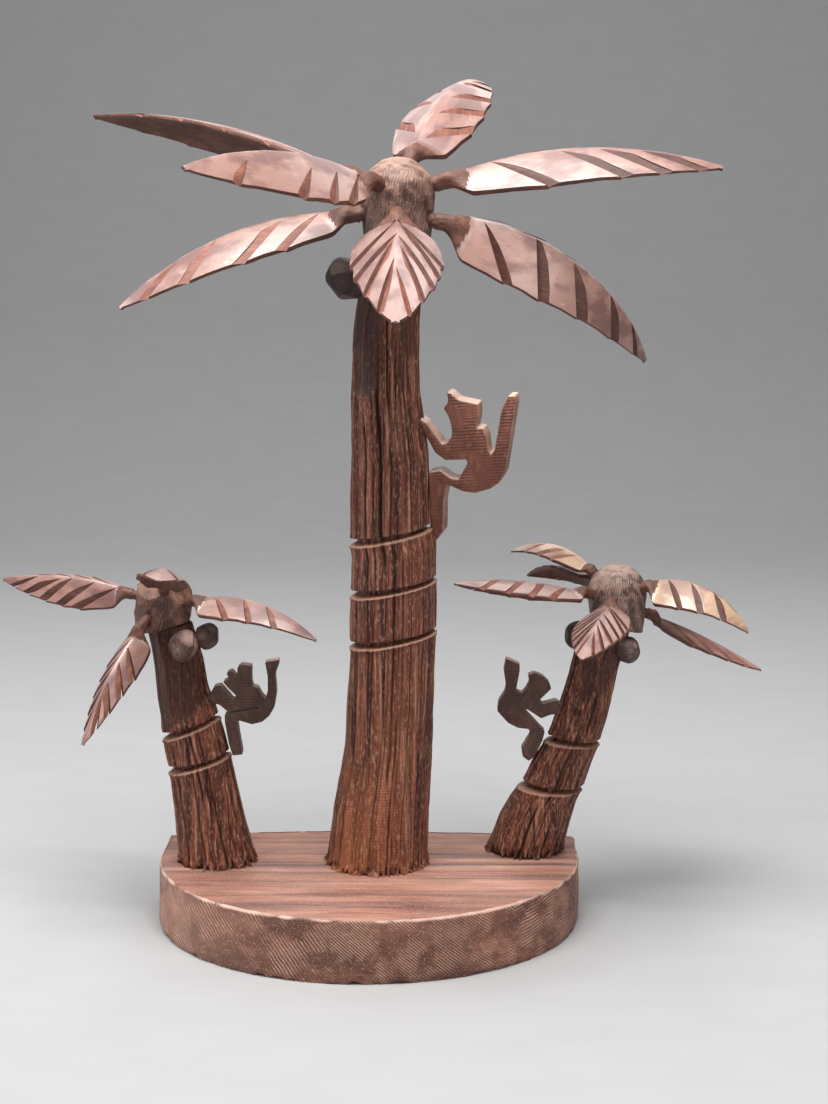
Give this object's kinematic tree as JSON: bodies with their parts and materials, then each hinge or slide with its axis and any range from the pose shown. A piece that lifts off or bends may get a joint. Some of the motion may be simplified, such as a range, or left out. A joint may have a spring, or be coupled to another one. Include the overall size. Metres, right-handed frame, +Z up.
{
  "type": "carved wooden palm tree ornament",
  "caption": "Carved hardwood ornament: palm trees with push-fit fronds, coconuts and flat climbing monkeys on a thick round-fronted plank.",
  "frame": {"origin": "on the underside of the plank, in the middle of its width, level with the foot of the tall palm", "axes": "+X along the plank to the right as seen from its rounded front, +Y towards the straight back edge, +Z up the tall palm"},
  "size_m": [0.3128, 0.229, 0.3421],
  "materials": {
    "plank_wood": "rough-sawn reddish hardwood, oiled, dark streaks on the top face",
    "trunk_heartwood": "gouged dark red-brown heartwood, waxed",
    "crown_heartwood": "rasped dark red-brown heartwood",
    "frond_wood": "polished pinkish-brown hardwood with raw orange-red gouge cuts",
    "monkey_wood": "scroll-sawn brown hardwood with saw lines",
    "coconut_wood": "whittled dark brown heartwood",
    "screw_steel": "plain zinc-plated wood screw",
    "dowel_wood": "pale plain dowel"
  },
  "bodies": {
    "stand": {"plank_base": "plank_wood", "tall_trunk": "trunk_heartwood", "left_trunk": "trunk_heartwood", "right_trunk": "trunk_heartwood", "tall_crown": "crown_heartwood", "left_crown": "crown_heartwood", "right_crown": "crown_heartwood", "tall_monkey": "monkey_wood", "left_monkey": "monkey_wood", "right_monkey": "monkey_wood", "tall_coconut": "coconut_wood", "left_coconut_front": "coconut_wood", "left_coconut_side": "coconut_wood", "right_coconut_outer": "coconut_wood", "right_coconut_inner": "coconut_wood", "trunk_screws": "screw_steel", "crown_dowels": "dowel_wood"},
    "tall_frond_1_body": {"tall_frond_1": "frond_wood"},
    "tall_frond_2_body": {"tall_frond_2": "frond_wood"},
    "tall_frond_3_body": {"tall_frond_3": "frond_wood"},
    "tall_frond_4_body": {"tall_frond_4": "frond_wood"},
    "tall_frond_5_body": {"tall_frond_5": "frond_wood"},
    "tall_frond_6_body": {"tall_frond_6": "frond_wood"},
    "tall_frond_7_body": {"tall_frond_7": "frond_wood"},
    "left_frond_1_body": {"left_frond_1": "frond_wood"},
    "left_frond_2_body": {"left_frond_2": "frond_wood"},
    "left_frond_3_body": {"left_frond_3": "frond_wood"},
    "left_frond_4_body": {"left_frond_4": "frond_wood"},
    "right_frond_1_body": {"right_frond_1": "frond_wood"},
    "right_frond_2_body": {"right_frond_2": "frond_wood"},
    "right_frond_3_body": {"right_frond_3": "frond_wood"},
    "right_frond_4_body": {"right_frond_4": "frond_wood"},
    "right_frond_5_body": {"right_frond_5": "frond_wood"},
    "right_frond_6_body": {"right_frond_6": "frond_wood"},
    "right_frond_7_body": {"right_frond_7": "frond_wood"}
  },
  "joints": [
    {"name": "tall_frond_1_pull", "type": "slide", "parent": "stand", "child": "tall_frond_1_body", "axis": [-0.789, 0.3349, 0.515], "range_m": [0, 0.005]},
    {"name": "tall_frond_2_pull", "type": "slide", "parent": "stand", "child": "tall_frond_2_body", "axis": [-0.4975, -0.828, 0.2588], "range_m": [0, 0.005]},
    {"name": "tall_frond_3_pull", "type": "slide", "parent": "stand", "child": "tall_frond_3_body", "axis": [-0.9701, -0.2419, -0.0175], "range_m": [0, 0.005]},
    {"name": "tall_frond_4_pull", "type": "slide", "parent": "stand", "child": "tall_frond_4_body", "axis": [0.2255, 0.5875, 0.7771], "range_m": [0, 0.005]},
    {"name": "tall_frond_5_pull", "type": "slide", "parent": "stand", "child": "tall_frond_5_body", "axis": [0.9403, -0.0988, 0.3256], "range_m": [0, 0.005]},
    {"name": "tall_frond_6_pull", "type": "slide", "parent": "stand", "child": "tall_frond_6_body", "axis": [0.9393, -0.3052, -0.1564], "range_m": [0, 0.005]},
    {"name": "tall_frond_7_pull", "type": "slide", "parent": "stand", "child": "tall_frond_7_body", "axis": [0.0171, -0.9815, -0.1908], "range_m": [0, 0.005]},
    {"name": "left_frond_1_pull", "type": "slide", "parent": "stand", "child": "left_frond_1_body", "axis": [-0.9728, 0.1022, 0.2079], "range_m": [0, 0.005]},
    {"name": "left_frond_2_pull", "type": "slide", "parent": "stand", "child": "left_frond_2_body", "axis": [-0.4368, -0.7269, -0.5299], "range_m": [0, 0.005]},
    {"name": "left_frond_3_pull", "type": "slide", "parent": "stand", "child": "left_frond_3_body", "axis": [0.1504, -0.7735, 0.6157], "range_m": [0, 0.005]},
    {"name": "left_frond_4_pull", "type": "slide", "parent": "stand", "child": "left_frond_4_body", "axis": [0.8606, -0.4385, 0.2588], "range_m": [0, 0.005]},
    {"name": "right_frond_1_pull", "type": "slide", "parent": "stand", "child": "right_frond_1_body", "axis": [-0.6133, 0.3261, 0.7193], "range_m": [0, 0.005]},
    {"name": "right_frond_2_pull", "type": "slide", "parent": "stand", "child": "right_frond_2_body", "axis": [-0.4065, 0.8333, 0.3746], "range_m": [0, 0.005]},
    {"name": "right_frond_3_pull", "type": "slide", "parent": "stand", "child": "right_frond_3_body", "axis": [-0.8219, -0.4556, 0.342], "range_m": [0, 0.005]},
    {"name": "right_frond_4_pull", "type": "slide", "parent": "stand", "child": "right_frond_4_body", "axis": [-0.2588, -0.9659, 0], "range_m": [0, 0.005]},
    {"name": "right_frond_5_pull", "type": "slide", "parent": "stand", "child": "right_frond_5_body", "axis": [0.8065, -0.504, 0.309], "range_m": [0, 0.005]},
    {"name": "right_frond_6_pull", "type": "slide", "parent": "stand", "child": "right_frond_6_body", "axis": [0.8901, 0.3963, 0.225], "range_m": [0, 0.005]},
    {"name": "right_frond_7_pull", "type": "slide", "parent": "stand", "child": "right_frond_7_body", "axis": [0.9018, 0.2416, -0.3584], "range_m": [0, 0.005]}
  ]
}
